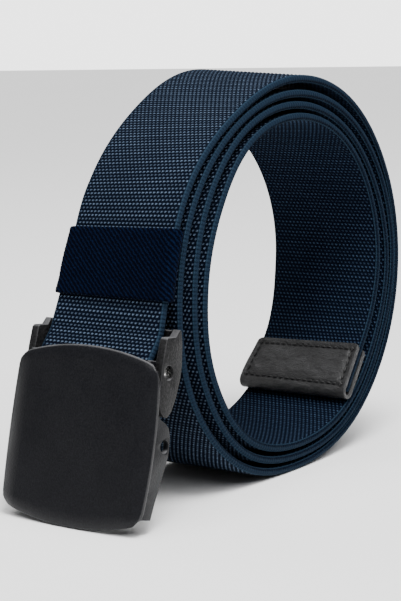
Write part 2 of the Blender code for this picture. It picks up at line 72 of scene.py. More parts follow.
# Buckle, keeper and tab, as the solid model has them
BUCKLE_LEAN = radians(13.8)
PIN_STAND_OFF = 0.0104
BUCKLE_REACH = COIL_RADIUS + PIN_STAND_OFF
PIN_DROP = 0.0179
PIN_RADIUS = 0.00155
STRAP_OUT = -0.0009
STRAP_SETTLED = 0.0105
SEWN_END = 0.0062
STRAIGHT_TOP = 0.0225
KEEPER_LENGTH = 0.0188
KEEPER_START = 0.0181
KEEPER_WALL = 0.0010
KEEPER_GAP = 0.0004
TAB_LENGTH = 0.0146
LEATHER = 0.0012
STRAIGHT_END = 0.0165
# The turn that sets both the coil and the buckle's foot on the floor
RESTING_TURN = radians(1.460077)

# Mean radius of the webbing on each turn, as a share of COIL_RADIUS, and the lean of the outer turns
COIL_TABLE = (
    # clock, turn 1, turn 2, turn 3, turn 4, lean 1, lean 2
    (0, 1.075, 1.025, 0.951, 0.907, -1.30, -0.88),
    (30, 1.035, 1.002, 0.949, 0.891, -1.10, -0.92),
    (60, 0.986, 0.978, 0.964, 0.931, -0.20, -0.10),
    (90, 1.009, 0.978, 0.962, 0.944, 0.60, 0.00),
    (120, 1.027, 0.991, 0.964, 0.953, 0.70, 0.00),
    (150, 1.009, 0.996, 0.964, 0.942, 0.35, 0.00),
    (180, 0.999, 0.998, 0.981, 0.930, 0.00, 0.00),
    (210, 1.002, 0.987, 0.973, 0.913, 0.00, 0.00),
    (240, 1.022, 1.020, 1.005, 0.922, 0.00, 0.00),
    (270, 1.033, 1.022, 1.007, 0.930, 0.00, 0.00),
    (300, 1.080, 1.051, 1.024, 0.940, 0.00, 0.00),
    (330, 1.075, 1.004, 0.969, 0.940, -0.35, 0.00),
)
RADIUS_COLUMNS = (1, 2, 3, 4)
LEAN_COLUMNS = (5, 6)

# Camera, found from the photo's edges, in the frame of the coil before it is set on the floor
PHOTO_HEIGHT_PX = 601
FOCAL_PX = 1800
CAMERA_PLACE = (-0.41890, -0.30444, 0.06355)
CAMERA_YAW = radians(-52.55)
CAMERA_PITCH = radians(7.93)
CAMERA_ROLL = radians(-1.098)

# Steps along each stretch of the strip outside the coil
SEWN_STEPS = 12
LOOP_STEPS = 24
SETTLING_STEPS = 16
STRAIGHT_STEPS = 10
SWEEP_STEPS = 32
END_STEPS = 16

# Weave: the outer face shows up to the first clock and the inner face from the second one on
OUTER_FACE_UNTIL = 398.0
INNER_FACE_FROM = 2 * 360.0 + 190.0
# Height of every third row of pebbles, and the slant of a pebble towards the next row
FLAT_ROW = 0.76
PEBBLE_SLANT = 0.7
# Scales of the noises, in waves for each metre
YARN_FIBRES = 2600.0
DYE_PATCHES = 60.0
# The selvage, as its places in columns past the last pebble, and its half section
SELVAGE_FROM = 0.3
SELVAGE_FULL = 0.9
CORD_LINE = 1.1
CORD_HALF = 0.35
EDGE_ROUND = 0.0007
EDGE_FLATTENING = 0.92
SELVAGE_STEPS = (
    # distance in from the side, rise above the face
    (0.00110, -0.00012),
    (0.00085, 0.00008),
    (0.00060, -0.00002),
)

# Keeper: steps over its flat side in the mesh and in the measure of its girth, and round each bend,
# the float of one thread in millimetres, and noises
KEEPER_SIDES = 130
KEEPER_BENDS = 10
FLOAT_LENGTH = 2.2
KEEPER_FIBRES = 3200.0
RIB_WANDER_SCALE = 1100.0
RIB_WANDER = 0.9

# Leather tab: its seam, its corners, the run of its swell, and the scale and depth of its creases
STITCH_INSET = 0.0019
SEAM_ONTO_FOLD = 0.001
TAB_CORNER = 0.0018
TAB_HALF = (WEBBING_WIDTH + CLEARANCE) / 2
TAB_AWAY = WEBBING_THICKNESS / 2 + CLEARANCE + LEATHER / 2
SWELL_RUN = 0.003
SEAM_DIP_HALF = 0.0009
CREASE_SCALE = 420.0
CREASE_STRETCH = 0.45
CREASE_DEPTH = 0.0012
PORE_DEPTH = 0.00006

# Thread: its dark and light strands, with the scale and depth of its twist
THREAD_DARK = (0.0006, 0.0006, 0.0008)
THREAD_LIGHT = (0.004, 0.004, 0.005)
TWIST_SCALE = 4000.0
TWIST_DEPTH = 0.00005

# Moulded plastic: the roughness, grain and relief of the cover and of the frame
COVER_FINISH = (0.40, 0.00045, 0.00006)
FRAME_FINISH = (0.45, 0.00060, 0.00016)
# The specks of the grain are lighter by a factor, and by a share of the relief
SPECK_GAIN = 1.45
SPECK_LIFT = 60.0
HANDLING_MARKS = 90.0
# The plate's eased sides start this far from its middle, and fall away at this rate
EASED_FROM = 0.0190
EASED_FALL = 2.0
# Worn edges, and a painted highlight on faces that look up: their colour, the share of it on rounded edges
# as wear, and how far up a face looks to get the full painted highlight
WEAR_AND_HIGHLIGHT_COLOR = (0.090, 0.090, 0.094)
EDGE_WEAR = 0.35
UPWARD = 0.88
# Edges sharper than this are rounded, if they are this many times longer than the rounding
SHARP_EDGE = radians(38)
LONG_ENOUGH = 2.2
SMOOTH_UP_TO = radians(32)

# Steel: its colour, and the scale, stretch and depth of its lathe lines
STEEL_COLOR = (0.66, 0.66, 0.64)
LATHE_SCALE = 2500.0
LATHE_STRETCH = 0.03
LATHE_DEPTH = 0.00001

# Stage: the floor's half size and its drop below the belt, and the lamps
FLOOR_HALF = 3.0
FLOOR_DROP = 0.0002
LIT_MIDDLE = (0.0, 0.0, 0.055)
KEY_PLACE = (-0.18, -0.30, 0.82)
KEY_SIZE = 0.35
RIM_PLACE = (0.25, 0.60, 0.80)
RIM_SIZE = 0.5
RIM_SHARE = 0.15
SUN_FROM = (-0.20, -0.35, 1.0)
SUN_SPREAD = radians(75)


def smooth_step(share):
    share = min(max(share, 0.0), 1.0)
    return share * share * (3 - 2 * share)


def mix(first, last, share):
    return first + (last - first) * share


def table_value(step, columns):
    turn, row = divmod(step, len(COIL_TABLE))
    turn = min(max(turn, 0), len(columns) - 1)
    return COIL_TABLE[row][columns[turn]]


def along_clock(clock, columns):
    """The table's value after this many degrees of winding, by a Catmull-Rom curve."""
    spacing = 360.0 / len(COIL_TABLE)
    step = int(clock // spacing)
    t = clock / spacing - step
    a, b, c, d = (table_value(step + k, columns) for k in (-1, 0, 1, 2))
    return 0.5 * (
        2 * b + (c - a) * t + (2 * a - 5 * b + 4 * c - d) * t * t + (3 * b - a - 3 * c + d) * t ** 3
    )


def coil_point(clock):
    angle = pi - radians(clock)
    radius = COIL_RADIUS * along_clock(clock, RADIUS_COLUMNS)
    radius -= clock / 360.0 * (WEBBING_THICKNESS + CLEARANCE)
    return Vector((radius * cos(angle), radius * sin(angle)))


def coil_lean(clock):
    if clock > 360.0 * len(LEAN_COLUMNS):
        return 0.0
    return FAR_EDGE_LEAN * along_clock(clock, LEAN_COLUMNS)


def end_lean(left):
    rise = smooth_step(1 - (left - STRAIGHT_END) / TAB_LEAN_RUN)
    return TAB_LEAN * min(rise, smooth_step(left / STRAIGHT_END))


def coil_stations():
    count = round((COIL_END_CLOCK - COIL_START_CLOCK) / STATION_ANGLE)
    clocks = [mix(COIL_START_CLOCK, COIL_END_CLOCK, k / count) for k in range(count + 1)]
    radius = coil_point(COIL_END_CLOCK).length
    lefts = [STRAIGHT_END + radians(COIL_END_CLOCK - clock) * radius for clock in clocks]
    return [(coil_point(clock), coil_lean(clock) + end_lean(left)) for clock, left in zip(clocks, lefts)]


def buckle_point(out, up):
    """The (x, z) of a place given by its distance out from the pin and up along the strap."""
    return Vector(
        (
            -BUCKLE_REACH - out * cos(BUCKLE_LEAN) + up * sin(BUCKLE_LEAN),
            -PIN_DROP + out * sin(BUCKLE_LEAN) + up * cos(BUCKLE_LEAN),
        )
    )


LOOP_RADIUS = PIN_RADIUS + CLEARANCE / 2 + WEBBING_THICKNESS / 2


def strap_out(up):
    return mix(LOOP_RADIUS, STRAP_OUT, smooth_step(up / STRAP_SETTLED))


def sewn_end_out(up):
    behind = strap_out(up) - WEBBING_THICKNESS - CLEARANCE
    return mix(-LOOP_RADIUS, behind, smooth_step(up / SEWN_END))


def loop_stations():
    """The sewn end, the loop round the pin and the straight run above it, in that order."""
    end = [(sewn_end_out(up), up) for up in (SEWN_END * k / SEWN_STEPS for k in range(SEWN_STEPS, 0, -1))]
    turns = [pi + pi * k / LOOP_STEPS for k in range(LOOP_STEPS + 1)]
    loop = [(LOOP_RADIUS * cos(turn), LOOP_RADIUS * sin(turn)) for turn in turns]
    ups = [STRAP_SETTLED * k / SETTLING_STEPS for k in range(1, SETTLING_STEPS + 1)]
    run = [(strap_out(up), up) for up in ups]
    stations = [(buckle_point(out, up), 0.0) for out, up in end + loop + run]
    for share in (k / STRAIGHT_STEPS for k in range(1, STRAIGHT_STEPS + 1)):
        up = mix(STRAP_SETTLED, STRAIGHT_TOP, share)
        stations.append((buckle_point(STRAP_OUT, up), FAR_EDGE_LEAN * LEAN_BELOW_KEEPER * share))
    return stations


def rising_lean(share):
    first, middle = FAR_EDGE_LEAN * LEAN_BELOW_KEEPER, FAR_EDGE_LEAN * LEAN_ABOVE_KEEPER
    if share < 0.5:
        return mix(first, middle, smooth_step(2 * share))
    return mix(middle, coil_lean(COIL_START_CLOCK), smooth_step(2 * share - 1))


def rising_stations():
    """The sweep from the top of the straight run to where the strip joins the coil."""
    low = buckle_point(STRAP_OUT, STRAIGHT_TOP)
    low_heading = (low - buckle_point(STRAP_OUT, STRAP_SETTLED)).normalized()
    high = coil_point(COIL_START_CLOCK)
    high_heading = (coil_point(COIL_START_CLOCK + 1) - high).normalized()
    reach = (high - low).length / 3
    handles = (low + low_heading * reach, high - high_heading * reach)
    points = interpolate_bezier(low, *handles, high, SWEEP_STEPS + 1)
    return [(Vector(point), rising_lean(k / SWEEP_STEPS)) for k, point in enumerate(points)][1:-1]


def straight_end():
    start = coil_point(COIL_END_CLOCK)
    heading = (start - coil_point(COIL_END_CLOCK - 1)).normalized()
    shares = [k / END_STEPS for k in range(1, END_STEPS + 1)]
    return [(start + heading * STRAIGHT_END * k, end_lean(STRAIGHT_END * (1 - k))) for k in shares]


def settling():
    """The matrix that sets the coil's frame on the floor, with the hinge pin where the model has it."""
    turn = Matrix.Rotation(RESTING_TURN, 4, "Y")
    pin = buckle_point(0.0, 0.0)
    place = Vector(frame["joints"][0]["pos_m"])
    return Matrix.Translation(place - turn @ Vector((pin.x, 0.0, pin.y))) @ turn


SETTLED = settling()


class Strip:
    """The strip's middle line, measured by the length run along it from the sewn end."""

    def __init__(self):
        self.stations = loop_stations() + rising_stations() + coil_stations() + straight_end()
        points = [point for point, _ in self.stations]
        self.lengths = [0.0]
        for before, after in zip(points, points[1:]):
            self.lengths.append(self.lengths[-1] + (after - before).length)
        self.outwards = []
        for before, after in zip(points[:1] + points, points[1:] + points[-1:]):
            along = (after - before).normalized()
            self.outwards.append(Vector((-along.y, along.x)))
        self.total = self.lengths[-1]
        self.coil_start = len(self.stations) - len(straight_end()) - len(coil_stations())

    def length_at(self, point):
        nearest = min(range(len(self.stations)), key=lambda k: (self.stations[k][0] - point).length)
        return self.lengths[nearest]

    def run_at_clock(self, clock):
        return self.lengths[self.coil_start + round((clock - COIL_START_CLOCK) / STATION_ANGLE)]

    def at_station(self, k, across, away):
        middle, lean = self.stations[k]
        offset = self.outwards[k] * (away + lean * (across / WEBBING_WIDTH + 0.5))
        return Vector((middle.x + offset.x, across, middle.y + offset.y))

    def place(self, run, across, away):
        """A point on the floor's frame: at this run, across from the middle, away from the outer face."""
        k = min(max(bisect_right(self.lengths, run), 1), len(self.lengths) - 1)
        share = (run - self.lengths[k - 1]) / (self.lengths[k] - self.lengths[k - 1])
        point = mix(self.at_station(k - 1, across, away), self.at_station(k, across, away), share)
        return SETTLED @ point


STRIP = Strip()


def opaque(colour):
    return (*colour, 1.0)


class Nodes:
    """Short calls for building a material's node tree."""

    def __init__(self, name):
        self.material = bpy.data.materials.new(name)
        self.material.use_nodes = True
        self.tree = self.material.node_tree
        self.shader = self.tree.nodes["Principled BSDF"]

    def add(self, kind, inputs=None, **settings):
        node = self.tree.nodes.new(kind)
        for key, value in settings.items():
            setattr(node, key, value)
        for key, value in (inputs or {}).items():
            self.feed(node.inputs[key], value)
        return node

    def feed(self, socket, value):
        if isinstance(value, bpy.types.NodeSocket):
            self.tree.links.new(value, socket)
        else:
            socket.default_value = value

    def math(self, operation, *values):
        node = self.add("ShaderNodeMath", operation=operation)
        for socket, value in zip(node.inputs, values):
            self.feed(socket, value)
        return node.outputs[0]

    def spread(self, value, low, high, to_low=0.0, to_high=1.0):
        inputs = {"Value": value, "From Min": low, "From Max": high, "To Min": to_low, "To Max": to_high}
        return self.add("ShaderNodeMapRange", inputs).outputs["Result"]

    def blend(self, share, first, last):
        node = self.add("ShaderNodeMix", data_type="RGBA")
        self.feed(node.inputs["Factor"], share)
        self.feed(node.inputs[6], first)
        self.feed(node.inputs[7], last)
        return node.outputs[2]

    def noise(self, scale, detail=3.0, vector=None, roughness=0.55):
        node = self.add("ShaderNodeTexNoise", {"Scale": scale, "Detail": detail, "Roughness": roughness})
        self.feed(node.inputs["Vector"], vector or self.place())
        return node.outputs["Fac"]

    def place(self):
        return self.add("ShaderNodeTexCoord").outputs["Object"]

    def uv(self, name):
        node = self.add("ShaderNodeUVMap", uv_map=name)
        parts = self.add("ShaderNodeSeparateXYZ", {"Vector": node.outputs["UV"]})
        return parts.outputs["X"], parts.outputs["Y"]

    def bump(self, height, distance, strength=1.0, under=None):
        inputs = {"Height": height, "Distance": distance, "Strength": strength}
        if under is not None:
            inputs["Normal"] = under
        return self.add("ShaderNodeBump", inputs).outputs["Normal"]

    def shade(self, **inputs):
        for key, value in inputs.items():
            self.feed(self.shader.inputs[key.replace("_", " ")], value)


def pebble_height(nodes, row, column):
    """Pebbles in offset rows, one row in three flatter, and the ridges that the rows stand on."""
    row_number = nodes.math("FLOOR", nodes.math("ADD", row, 0.5))
    ridge = nodes.spread(nodes.math("COSINE", nodes.math("MULTIPLY", row, 2 * pi)), -1.0, 0.6)
    slant = nodes.math("MULTIPLY", nodes.math("SUBTRACT", row, row_number), PEBBLE_SLANT)
    staggered = nodes.math("ADD", nodes.math("ADD", column, row_number), slant)
    bead = nodes.math("COSINE", nodes.math("MULTIPLY", staggered, pi))
    bead = nodes.spread(bead, -1.0, 0.8, 0.10, 1.0)
    third = nodes.math("FLOORED_MODULO", row_number, 3.0)
    fullness = nodes.spread(third, 0.0, 2.0, 1.0, FLAT_ROW)
    return nodes.math("MULTIPLY", nodes.math("MULTIPLY", ridge, bead), fullness), ridge


def face_colour(nodes, settings, pebble, fibre, inner_side):
    """The yarn's dark tone with a painted highlight on the pebbles and painted shade between them, uneven
    from fibre to fibre and from patch to patch.
    """
    # The pebble tops get a painted highlight and the valleys between them painted shade
    light = nodes.math("POWER", nodes.spread(pebble, 0.12, 0.98), 1.9)
    light = nodes.math("MULTIPLY", light, nodes.spread(fibre, 0.25, 0.75, 0.6, 1.3))
    patchy = nodes.noise(DYE_PATCHES, 2.0)
    light = nodes.math("MULTIPLY", light, nodes.spread(patchy, 0.3, 0.7, 0.85, 1.1))
    peak = nodes.blend(inner_side, opaque(settings.lit_peak_color), opaque(settings.inner_color))
    return nodes.blend(light, opaque(settings.valley_color), peak)


def selvage_colour(nodes, settings, from_cord, ridge, fibre, tight_lit_side):
    """The edge's smooth yarn and its cord, painted lit on the side toward the outer face, with loose dark
    fibres and painted shade on the side toward the inner face.
    """
    ground, yarn = opaque(settings.valley_color), opaque(settings.selvage_color)
    fuzz = nodes.blend(nodes.spread(fibre, 0.45, 0.75), ground, yarn)
    edge = nodes.blend(tight_lit_side, fuzz, yarn)
    edge = nodes.blend(nodes.spread(from_cord, CORD_HALF, 0.0), edge, opaque(settings.cord_color))
    return nodes.blend(nodes.spread(ridge, 0.6, 0.0, 0.0, 0.35), edge, ground)


def webbing_material(settings):
    """Pebbled elastic weave with a smooth selvage."""
    nodes = Nodes("pebbled_webbing")
    row, column = nodes.uv("weave")
    pebble, ridge = pebble_height(nodes, row, column)
    from_middle = nodes.math("ABSOLUTE", column)
    limit = settings.columns / 2
    selvage = nodes.spread(from_middle, limit + SELVAGE_FROM, limit + SELVAGE_FULL)
    pebble = nodes.math("MULTIPLY", pebble, nodes.math("SUBTRACT", 1.0, selvage))
    fibre = nodes.noise(YARN_FIBRES, 2.0)
    depth = nodes.add("ShaderNodeAttribute", attribute_name="depth").outputs["Fac"]
    # The selvage is painted lit on its side toward the outer face and in shade on its side toward the
    # inner face, where its fibres are loose
    tight_lit_side = nodes.spread(depth, -0.45, -0.10)
    face = face_colour(nodes, settings, pebble, fibre, nodes.spread(depth, -0.6, -0.9))
    from_cord = nodes.math("ABSOLUTE", nodes.math("SUBTRACT", from_middle, limit + CORD_LINE))
    edge = selvage_colour(nodes, settings, from_cord, ridge, fibre, tight_lit_side)
    threads = nodes.math("MULTIPLY", nodes.math("MULTIPLY", ridge, selvage), 0.5)
    loose = nodes.math("MULTIPLY", fibre, selvage)
    loose = nodes.math("MULTIPLY", loose, nodes.spread(tight_lit_side, 0.0, 1.0, 1.2, 0.0))
    height = nodes.math("ADD", nodes.math("ADD", pebble, threads), nodes.math("MULTIPLY", fibre, 0.3))
    height = nodes.math("ADD", height, loose)
    nodes.shade(Base_Color=nodes.blend(selvage, face, edge), Roughness=0.75, Specular_IOR_Level=0.04)
    nodes.shade(Normal=nodes.bump(height, 2 * settings.relief))
    return nodes.material


def keeper_material(settings, slope):
    """Fine diagonal twill with a dull sheen. Its UV map is in millimetres."""
    nodes = Nodes("keeper_twill")
    pitch = settings.rib_pitch * 1000
    run, across = nodes.uv("twill")
    wander = nodes.math("MULTIPLY", nodes.noise(RIB_WANDER_SCALE, 2.0), RIB_WANDER)
    phase = nodes.math("SUBTRACT", run, nodes.math("MULTIPLY", across, slope))
    phase = nodes.math("ADD", phase, wander)
    rib = nodes.math("COSINE", nodes.math("MULTIPLY", phase, 2 * pi / pitch))
    fibre = nodes.noise(KEEPER_FIBRES, 2.0)
    light = nodes.math("MULTIPLY", nodes.spread(rib, -0.6, 1.0), nodes.spread(fibre, 0.3, 0.7, 0.3, 1.4))
    rib_number = nodes.math("FLOOR", nodes.math("MULTIPLY", phase, 1 / pitch))
    along = nodes.math("ADD", across, nodes.math("MULTIPLY", run, slope))
    along = nodes.math("ADD", along, nodes.math("MULTIPLY", rib_number, FLOAT_LENGTH / 2))
    thread = nodes.math("COSINE", nodes.math("MULTIPLY", along, 2 * pi / FLOAT_LENGTH))
    light = nodes.math("MULTIPLY", light, nodes.spread(thread, -1.0, 0.4, 0.45, 1.0))
    # The rib tops are painted lit and the grooves between them painted in shade
    colour = nodes.blend(light, opaque(settings.valley_color), opaque(settings.lit_rib_color))
    height = nodes.math("ADD", rib, nodes.math("MULTIPLY", fibre, 0.8))
    nodes.shade(Base_Color=colour, Roughness=0.9, Specular_IOR_Level=0.03)
    nodes.shade(Normal=nodes.bump(height, settings.rib_height))
    return nodes.material


def leather_material(settings):
    """Soft grained leather: fine pores, long creases painted in shade, and a slight gloss and a painted
    sheen on the high places.
    """
    nodes = Nodes("tab_leather")
    scale = (1.0, CREASE_STRETCH, 1.0)
    stretch = nodes.add("ShaderNodeMapping", {"Vector": nodes.place(), "Scale": scale})
    creases = nodes.noise(CREASE_SCALE, 6.0, stretch.outputs["Vector"], 0.66)
    cells = nodes.add("ShaderNodeTexVoronoi", {"Scale": 1 / settings.grain, "Vector": nodes.place()})
    pores = nodes.spread(cells.outputs["Distance"], 0.0, 0.6)
    # The creases are painted darker as shade and the high places painted lighter as sheen
    high = nodes.spread(creases, 0.42, 0.60)
    colour = nodes.blend(high, opaque(settings.low_color), opaque(settings.high_color))
    rough = nodes.spread(creases, 0.35, 0.65, 0.55, 0.32)
    nodes.shade(Base_Color=colour, Roughness=rough, Specular_IOR_Level=0.5)
    under = nodes.bump(creases, CREASE_DEPTH, 0.9)
    nodes.shade(Normal=nodes.bump(pores, PORE_DEPTH, 0.6, under))
    return nodes.material


def thread_material():
    """Dark twisted sewing thread."""
    nodes = Nodes("sewing_thread")
    twist = nodes.noise(TWIST_SCALE, 1.0)
    colour = nodes.blend(twist, opaque(THREAD_DARK), opaque(THREAD_LIGHT))
    nodes.shade(Base_Color=colour, Roughness=0.6, Normal=nodes.bump(twist, TWIST_DEPTH))
    return nodes.material


def eased_sides(nodes):
    """A normal that turns away more and more past the start of the plate's eased sides."""
    across = nodes.add("ShaderNodeSeparateXYZ", {"Vector": nodes.place()}).outputs["Y"]
    beyond = nodes.math("SUBTRACT", nodes.math("ABSOLUTE", across), EASED_FROM)
    beyond = nodes.math("POWER", nodes.math("MAXIMUM", beyond, 0.0), 1.5)
    return nodes.bump(nodes.math("MULTIPLY", beyond, -EASED_FALL), 1.0)


def moulded_material(name, colour, finish, eased=False):
    """Moulded plastic: a fine spark-eroded grain, faint handling marks, worn edges and a painted highlight
    on faces that look up.
    """
    nodes = Nodes(name)
    roughness, grain, relief = finish
    under = eased_sides(nodes) if eased else None
    speckle = nodes.noise(1 / grain, 2.0)
    marks = nodes.noise(HANDLING_MARKS, 4.0)
    specks = [min(channel * SPECK_GAIN + relief * SPECK_LIFT, 1.0) for channel in colour]
    base = nodes.blend(nodes.spread(speckle, 0.35, 0.7), opaque(colour), opaque(specks))
    # Worn edges, and a painted highlight on faces that look up, broken up by the handling marks
    wear_and_highlight = nodes.add("ShaderNodeAttribute", attribute_name="wear_and_highlight").outputs["Fac"]
    wear_and_highlight = nodes.math("MULTIPLY", wear_and_highlight, nodes.spread(marks, 0.3, 0.6, 0.4, 1.0))
    base = nodes.blend(wear_and_highlight, base, opaque(WEAR_AND_HIGHLIGHT_COLOR))
    rough = nodes.spread(marks, 0.3, 0.7, roughness - 0.06, roughness + 0.06)
    nodes.shade(Base_Color=base, Roughness=rough, Specular_IOR_Level=0.15)
    nodes.shade(Normal=nodes.bump(speckle, relief, 0.9, under))
    return nodes.material


def steel_material():
    """Bright steel with fine lines round the pin."""
    nodes = Nodes("bright_steel")
    scale = (1.0, LATHE_STRETCH, 1.0)
    lathe = nodes.add("ShaderNodeMapping", {"Vector": nodes.place(), "Scale": scale})
    lines = nodes.noise(LATHE_SCALE, 3.0, lathe.outputs["Vector"])
    rough = nodes.spread(lines, 0.3, 0.7, 0.18, 0.34)
    nodes.shade(Metallic=1.0, Base_Color=opaque(STEEL_COLOR), Roughness=rough)
    nodes.shade(Normal=nodes.bump(lines, LATHE_DEPTH, 0.5))
    return nodes.material


def floor_material(colour):
    nodes = Nodes("studio_floor")
    cloudy = nodes.noise(3.0, 2.0)
    darker = [channel * 0.985 for channel in colour]
    nodes.shade(Base_Color=nodes.blend(cloudy, opaque(darker), opaque(colour)), Roughness=0.9)
    return nodes.material


def new_piece(name, bm, material, sharp=None):
    """A mesh object at the origin from a bmesh, shaded smooth, or smooth but for edges past an angle."""
    mesh = bpy.data.meshes.new(name)
    bm.to_mesh(mesh)
    bm.free()
    mesh.shade_smooth()
    if sharp is not None:
        mesh.set_sharp_from_angle(angle=sharp)
    piece = bpy.data.objects.new(name, mesh)
    bpy.context.scene.collection.objects.link(piece)
    mesh.materials.append(material)
    return piece


def applied(piece):
    """The piece with its modifiers made into its mesh."""
    bpy.context.view_layer.update()
    graph = bpy.context.evaluated_depsgraph_get()
    mesh = bpy.data.meshes.new_from_object(piece.evaluated_get(graph))
    piece.modifiers.clear()
    old = piece.data
    piece.data = mesh
    bpy.data.meshes.remove(old)
    return piece


def give_uv(bm, name, pairs):
    """Writes one (u, v) pair per vertex as a UV map."""
    layer = bm.loops.layers.uv.new(name)
    bm.verts.index_update()
    for face in bm.faces:
        for loop in face.loops:
            loop[layer].uv = pairs[loop.vert.index]


def section_edge(side, half_depth):
    """The selvage's outline from the outer face round the side to the inner face."""
    half = WEBBING_WIDTH / 2
    outer = [(half - inset, half_depth + rise) for inset, rise in SELVAGE_STEPS]
    turns = [pi / 2 - pi * k / 6 for k in range(1, 6)]
    depth = half_depth * EDGE_FLATTENING
    bend = [(half - EDGE_ROUND + EDGE_ROUND * cos(turn), depth * sin(turn)) for turn in turns]
    inner = [(across, -away) for across, away in reversed(outer)]
    return [(side * across, away) for across, away in outer + bend + inner]


def webbing_row(run, row, fine_outer, fine_inner, settings):
    """One row's closed section as lists of (place, column) for its two faces and two selvages."""
    half_depth = WEBBING_THICKNESS / 2
    count = settings.columns
    pitch = settings.column_pitch
    amount = settings.relief * (FLAT_ROW if row % 3 == 2 else 1.0)

    def face(sign, fine):
        steps = range(0, count + 1) if fine else range(0, count + 1, count // 4)
        points = []
        for k in steps:
            column = k - count // 2
            rise = amount * (1 if (row + column) % 2 == 0 else -1) if fine else 0.0
            across = column * pitch
            points.append((STRIP.place(run, across, sign * (half_depth + rise)), column, sign))
        return points

    def edge(side):
        places = section_edge(side, half_depth)
        return [(STRIP.place(run, *place), place[0] / pitch, place[1] / half_depth) for place in places]

    return [face(1, fine_outer), edge(1), face(-1, fine_inner)[::-1], edge(-1)[::-1]]


def joined_rows(bm, before, after):
    """Faces between two rows' segments, which have equal counts or a whole multiple of each other's."""
    if len(before) == len(after):
        for k in range(len(before) - 1):
            bm.faces.new((before[k], before[k + 1], after[k + 1], after[k]))
        return
    few, many = sorted((before, after), key=len)
    step = (len(many) - 1) // (len(few) - 1)
    for k in range(len(few) - 1):
        part = many[k * step : (k + 1) * step + 1]
        ring = [few[k], few[k + 1]] + part[::-1]
        bm.faces.new(ring if few is before else ring[::-1])


def joined_segments(made):
    """A row's four runs of vertices, with each selvage's run going on to the faces beside it."""
    outer, near, inner, far = made
    return [outer, outer[-1:] + near + inner[:1], inner, inner[-1:] + far + outer[:1]]


def build_webbing(settings):
    """The woven band as rows of pebbles from the sewn end to the inner end, closed at both ends."""
    rows = int(STRIP.total / settings.row_pitch)
    outer_until = STRIP.run_at_clock(OUTER_FACE_UNTIL)
    inner_from = STRIP.run_at_clock(INNER_FACE_FROM)
    bm = bmesh.new()
    pairs, depths, before = [], [], None
    for row in range(rows + 1):
        run = STRIP.total * row / rows
        segments = webbing_row(run, row, run < outer_until, run > inner_from, settings)
        made = []
        for segment in segments:
            made.append([bm.verts.new(place) for place, _, _ in segment])
            pairs += [(row, column) for _, column, _ in segment]
            depths += [depth for _, _, depth in segment]
        ring = [vert for segment in made for vert in segment]
        joined = joined_segments(made)
        if before:
            for first, last in zip(before, joined):
                joined_rows(bm, first, last)
        else:
            bm.faces.new(ring[::-1])
        before = joined
    bm.faces.new(ring)
    give_uv(bm, "weave", pairs)
    bmesh.ops.recalc_face_normals(bm, faces=bm.faces)
    piece = new_piece("webbing", bm, webbing_material(settings))
    piece.data.attributes.new("depth", "FLOAT", "POINT").data.foreach_set("value", depths)
    return piece


def keeper_start():
    return STRIP.length_at(buckle_point(STRAP_OUT, STRAP_SETTLED)) + KEEPER_START - STRAP_SETTLED


def keeper_ring(sides):
    """Places round the keeper's middle line as (across, away), each with its way outwards."""
    half_width = WEBBING_WIDTH / 2 + KEEPER_GAP + KEEPER_WALL / 2
    half_depth = WEBBING_THICKNESS / 2 + KEEPER_GAP + KEEPER_WALL / 2
    flat = half_width - half_depth
    ring = []
    for side in (1, -1):
        for k in range(sides):
            across = mix(-flat, flat, k / sides) * side
            ring.append(((across, half_depth * side), (0.0, side)))
        for k in range(KEEPER_BENDS):
            turn = pi / 2 - pi * k / KEEPER_BENDS
            away = Vector((cos(turn) * side, sin(turn) * side))
            ring.append(((flat * side + half_depth * away.x, half_depth * away.y), (away.x, away.y)))
    return ring


def keeper_girths(ring):
    """The length round the keeper's middle line up to each place, and at the end right round it."""
    places = [Vector(place) for place, _ in ring]
    girths = [0.0]
    for before, after in zip(places, places[1:] + places[:1]):
        girths.append(girths[-1] + (after - before).length)
    return girths


def keeper_profile(settings):
    """The wall's outline along the strap as (run, height, ribbed), with rounded rims."""
    steps = round(KEEPER_LENGTH / (settings.rib_pitch / 4))
    rim = KEEPER_WALL / 2
    flat = KEEPER_LENGTH - 2 * rim
    turns = [pi / 4, pi / 2, 3 * pi / 4]
    outline = [(rim + flat * k / steps, rim, True) for k in range(steps + 1)]
    outline += [(KEEPER_LENGTH - rim + rim * sin(turn), rim * cos(turn), False) for turn in turns]
    outline += [(KEEPER_LENGTH - rim - flat * k / 4, -rim, False) for k in range(5)]
    return outline + [(rim - rim * sin(turn), rim * cos(turn), False) for turn in reversed(turns)]


def build_keeper(settings):
    """A flat woven tube with raised diagonal ribs and rounded rims."""
    start = keeper_start()
    profile = keeper_profile(settings)
    places = keeper_ring(KEEPER_SIDES)
    girths = keeper_girths(places)
    girth = girths[-1]
    slope = round(settings.rib_slope * girth / settings.rib_pitch) * settings.rib_pitch / girth
    bm = bmesh.new()
    pairs, rings = [], []
    for ((across, away), (out_across, out_away)), round_it in zip(places, girths):
        ring = []
        for run, height, ribbed in profile:
            if ribbed:
                phase = (run - round_it * slope) / settings.rib_pitch
                height += settings.rib_height * cos(2 * pi * phase)
            place = STRIP.place(start + run, across + out_across * height, away + out_away * height)
            ring.append(bm.verts.new(place))
            pairs.append((run * 1000, round_it * 1000))
        rings.append(ring)
    for first, last in zip(rings, rings[1:] + rings[:1]):
        for k in range(len(first)):
            bm.faces.new((first[k], first[k - 1], last[k - 1], last[k]))
    give_uv(bm, "twill", pairs)
    layer = bm.loops.layers.uv["twill"]
    closing = {face for vert in rings[-1] for face in vert.link_faces}
    for vert in rings[0]:
        for loop in vert.link_loops:
            if loop.face in closing:
                loop[layer].uv.y = girth * 1000
    bmesh.ops.recalc_face_normals(bm, faces=bm.faces)
    return new_piece("keeper", bm, keeper_material(settings, slope))


